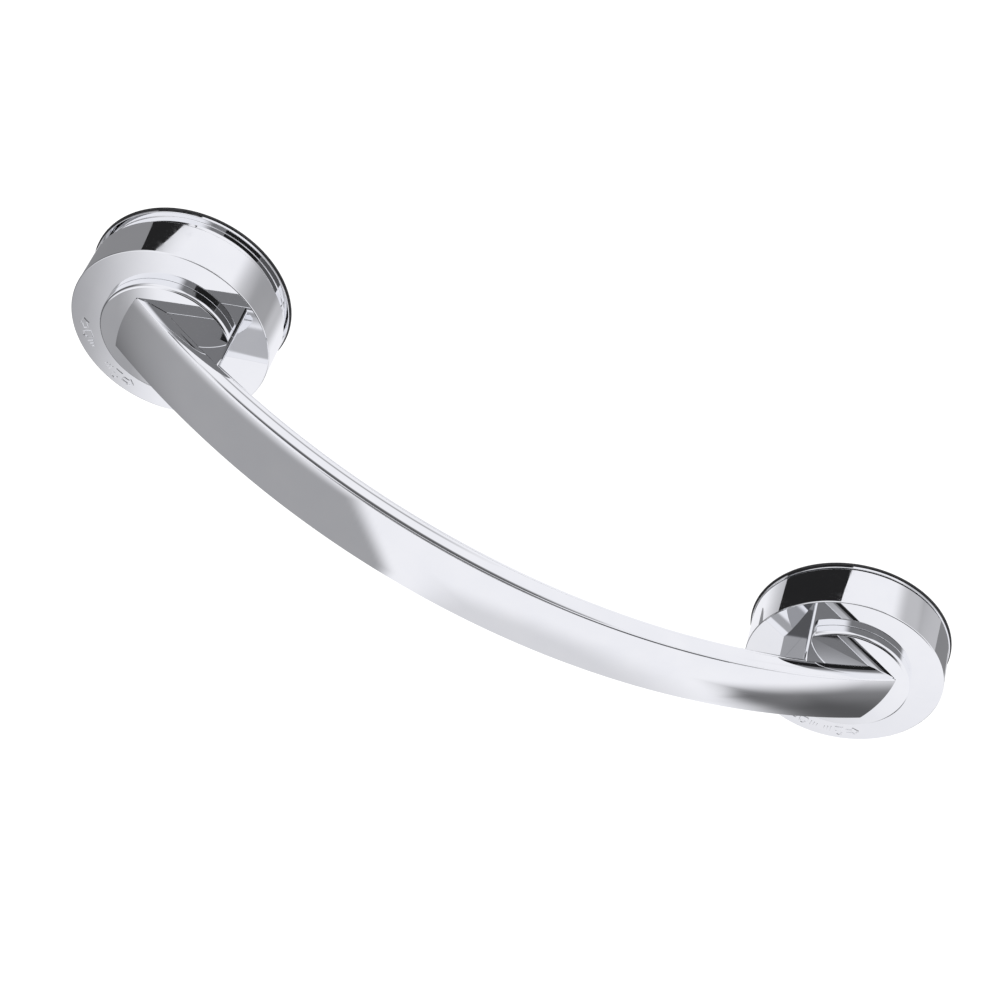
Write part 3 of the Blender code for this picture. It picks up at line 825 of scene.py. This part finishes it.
# What the plating mirrors hangs on a wide tent. A soft card is a grey, the softness of its edge in degrees
# and its corners, and a crisp card is a grey and its corners. A corner is a longitude and a latitude, with
# longitude 0 in front of the bar and +X at 90. Or it is a side, an angle and a share: the place that the
# camera sees mirrored in that side's ring wall, at that angle round it and that share of its depth back from
# its front edge. Later cards lie over earlier ones.
TENT_RADIUS = 2.0
TENT_MIDDLE = (0, -0.03, 0)
TENT_GREY = 245
TENT_BLUE = 1.04
TENT_STEPS = 360
CARD_GAP = 0.004
SOFT_CARDS = [
    (163, 2.8, [(-125, -32), (-16.4, -32), (-6.4, -58), (-6.4, -84), (-125, -84)]),
    (90, 18, [(-140, 20), (-60, 20), (-80, -90), (-140, -90)]),
    (124, 5, [(60, -43), (76, -33), (100, -30), (108, -52), (86, -52), (70, -49)]),
    (112, 2.5, [(62, -43.5), (70, -42), (84, -44), (78, -48), (66, -47.5)]),
    (88, 4, [(75, -41), (86, -40), (104, -42), (104, -50), (90, -50), (80, -47.5)]),
    (218, 7, [(6, -50), (22, -45), (33, -45), (50, -50), (64, -55), (64, -70), (6, -70)]),
    (168, 2, [(190, -51), (203, -51), (205, -64), (190, -64)]),
    (96, 1.5, [(150, 61), (200, 60), (200, 68), (150, 68)]),
    (122, 6, [(-23, 70), (-23, 14), (27, 14), (27, 70)]),
    (122, 4, [(20, 46.5), (20, 6), (54, 6), (50, 43)]),
    (192, 8, [(120, 42), (148, 42), (158, 10), (152, -24), (120, -24)]),
    (158, 6, [(135, 20), (146, 22), (146, -6), (135, -8)]),
    (186, 3, [(127, -32), (146, -32), (146, -66), (127, -66)]),
    (150, 2, [(172, 38), (186, 38), (186, 34.5), (172, 34.5)]),
    (70, 2, [(203, 62), (216, 57), (214, 53), (203, 55)]),
    (26, 3, [(-13, -27), (34, -27), (40, 10), (-14, 8)]),
]
CRISP_CARDS = [
    (134, [(118, 1), ("right", 57, -0.5), ("right", 53, 1.5), (136, -14), (141, -30), (130, -36),
           (118, -30)]),
    (138, [*(("left", angle, 1.4) for angle in range(124, 149, 6)), ("left", 154, 1.3), ("left", 160, 1.1),
           ("left", 165, 0.9), ("left", 170, 0.7), (204, -50), (226, -60), (236, -34), (242, -10), (233, 14),
           ("left", 121, -1)]),
    (36, [("right", 117, 1.3), ("right", 121, 0), ("right", 123, -0.1), ("left", 107, 1.15),
          ("left", 109, 0.93), ("left", 111, 0.67), ("left", 113, 0.4), ("left", 115, 0.13),
          ("left", 117.5, -0.2), ("left", 120, -0.8), ("left", 126, -0.8), ("left", 127.5, 1.2),
          ("right", 140, -0.9), ("right", 150, -0.8), ("right", 160, -0.3), ("right", 157.5, 1.3),
          (195, -20), (195, 30)]),
    (30, [(-3, 45), (10, 44.5), (20, 41), (27, 36.5), (33, 29.5), (37, 18), (31, 14), (27, 24), (19, 31),
          (8, 37), (-3, 40)]),
    (84, [(33.5, 29), (40, 27), (45, 14), (45, -8), (38, -8), (37, 18)]),
    (26, [(184, 36), (190, 36), (190, 31), (184, 31)]),
]


def linear(grey):
    """The linear light of a grey from 0 to 255."""
    value = grey / 255
    return value / 12.92 if value <= 0.04045 else ((value + 0.055) / 1.055) ** 2.4


def way_to(longitude, latitude):
    """Unit directions for longitudes and latitudes in degrees."""
    a, b = np.radians(longitude), np.radians(latitude)
    return np.column_stack((np.sin(a) * np.cos(b), -np.cos(a) * np.cos(b), np.sin(b)))


def mirrored(axis, angle, share):
    """Longitude and latitude of the place on the tent that a ring's wall shows to the camera."""
    normal = np.array((math.cos(math.radians(angle)), 0, math.sin(math.radians(angle))))
    depth = RING_FRONT + share * (RING_BACK - RING_FRONT)
    place = MM * (np.array((axis, depth, 0)) + RING_RADIUS * normal)
    sight = unit(place - np.array(CAMERA_PLACE))
    sight = sight - 2 * (sight @ normal) * normal
    start = place - np.array(TENT_MIDDLE)
    reach = math.sqrt((start @ sight) ** 2 - start @ start + TENT_RADIUS**2) - start @ sight
    x, y, z = (start + reach * sight) / TENT_RADIUS
    return math.degrees(math.atan2(x, -y)) % 360, math.degrees(math.asin(z))


def depth_inside(longitude, latitude, corners):
    """How far inside a card's nearest edge each direction lies, in degrees."""
    corners = np.array(corners, float)
    middle = corners.mean(0)
    across = (longitude - middle[0] + 180) % 360 - 180
    along = latitude - middle[1]
    corners = corners - middle
    depth = np.full(longitude.shape, 999.0)
    for first, second in zip(corners, np.roll(corners, -1, 0)):
        edge = second - first
        out = unit(np.array((edge[1], -edge[0])))
        out = out if out @ first >= 0 else -out
        depth = np.minimum(depth, out @ first - across * out[0] - along * out[1])
    return depth


def tent_light(longitude, latitude):
    """The light of the tent and its soft cards in each direction."""
    value = np.full(longitude.shape, linear(TENT_GREY))
    for grey, soft, corners in SOFT_CARDS:
        share = np.clip((depth_inside(longitude, latitude, corners) + soft) / (2 * soft), 0, 1)
        share = share * share * (3 - 2 * share)
        value = value * (1 - share) + linear(grey) * share
    return value


def hang(name, verts, faces, light=None, grey=None):
    """A glowing surface that only reflections see. Its light is painted on its points, or is one grey."""
    mesh = bpy.data.meshes.new(name)
    mesh.from_pydata(verts.tolist(), [], faces)
    obj = bpy.data.objects.new(name, mesh)
    obj.location = TENT_MIDDLE
    bpy.context.scene.collection.objects.link(obj)
    for ray in ("camera", "diffuse", "transmission", "volume_scatter", "shadow"):
        setattr(obj, "visible_" + ray, False)
    made = bpy.data.materials.new(name)
    made.use_nodes = True
    made.cycles.emission_sampling = "NONE"
    tree = made.node_tree
    tree.nodes.clear()
    glow = tree.nodes.new("ShaderNodeEmission")
    output = tree.nodes.new("ShaderNodeOutputMaterial")
    tree.links.new(glow.outputs["Emission"], output.inputs["Surface"])
    if light is None:
        glow.inputs["Color"].default_value = (linear(grey), linear(grey), linear(grey) * TENT_BLUE, 1)
    else:
        colors = np.repeat(light, 4)
        colors[2::4] *= TENT_BLUE
        colors[3::4] = 1
        mesh.color_attributes.new("light", "FLOAT_COLOR", "POINT").data.foreach_set("color", colors)
        seen = tree.nodes.new("ShaderNodeAttribute")
        seen.attribute_name = "light"
        tree.links.new(seen.outputs["Color"], glow.inputs["Color"])
    mesh.materials.append(made)


def light_tent(axes):
    """The tent, with its soft cards painted on it and its crisp cards hung just inside."""
    across, along = TENT_STEPS, TENT_STEPS // 2
    grid_lon, grid_lat = np.meshgrid(np.arange(across) * 360 / across, np.linspace(-90, 90, along + 1))
    grid_lon, grid_lat = grid_lon.ravel(), grid_lat.ravel()
    step = np.arange(across)
    following = (step + 1) % across
    faces = []
    for row in range(along):
        low, high = row * across, (row + 1) * across
        faces += np.column_stack((low + step, low + following, high + following, high + step)).tolist()
    hang("light_tent", TENT_RADIUS * way_to(grid_lon, grid_lat), faces, tent_light(grid_lon, grid_lat))
    for number, (grey, corners) in enumerate(CRISP_CARDS, 1):
        corners = [mirrored(axes[way[0]], *way[1:]) if len(way) == 3 else way for way in corners]
        edge = []
        for first, second in zip(corners, corners[1:] + corners[:1]):
            cuts = max(1, round(math.dist(first, second) / 2))
            shares = np.arange(cuts)[:, None] / cuts
            edge += list(np.array(first) * (1 - shares) + np.array(second) * shares)
        edge = np.array(edge)
        verts = (TENT_RADIUS - CARD_GAP * (5 + number)) * way_to(edge[:, 0], edge[:, 1])
        hang(f"light_card_{number}", verts, [list(range(len(edge)))], grey=grey)


def floor():
    mesh = bpy.data.meshes.new("floor")
    far = FLOOR_REACH
    mesh.from_pydata([(-far, -far, 0), (far, -far, 0), (far, far, 0), (-far, far, 0)], [], [[0, 1, 2, 3]])
    ground = bpy.data.objects.new("floor", mesh)
    ground.location = (0, 0, FLOOR_LEVEL)
    ground.visible_glossy = False
    bpy.context.scene.collection.objects.link(ground)
    pale = Material("pale_floor", (0.93, 0.93, 0.93), 0.9, 0.0)
    pale.colors(pale.noise(0.8, 2), (0.3, (0.92, 0.92, 0.92)), (0.7, (0.94, 0.94, 0.94)))
    mesh.materials.append(pale.data)


def studio(axes):
    scene = bpy.context.scene
    scene.view_settings.view_transform = "Standard"
    world = bpy.data.worlds.new("studio")
    scene.world = world
    world.use_nodes = True
    background = world.node_tree.nodes["Background"]
    background.inputs["Color"].default_value = (1, 1, 1, 1)
    background.inputs["Strength"].default_value = WORLD_LIGHT
    light_tent(axes)
    floor()


ends = [End("left"), End("right")]
make_camera()
studio({end.side: end.axis for end in ends})
chrome = chrome_material()
rubber = rubber_material()
handle_front(chrome)
handle_rear(chrome, ends)
for end in ends:
    hub(end, chrome)
    ring(end, chrome)
    cam_sleeve(end, chrome)
    base_plate(end, chrome)
    suction_pad(end, rubber)
signs(ends[0], chrome, *LEFT_SIGNS)
signs(ends[1], chrome, *RIGHT_SIGNS)
dress_frame({"plastic": plastic_material(), "zinc": zinc_material(), "slip": slip_material()})
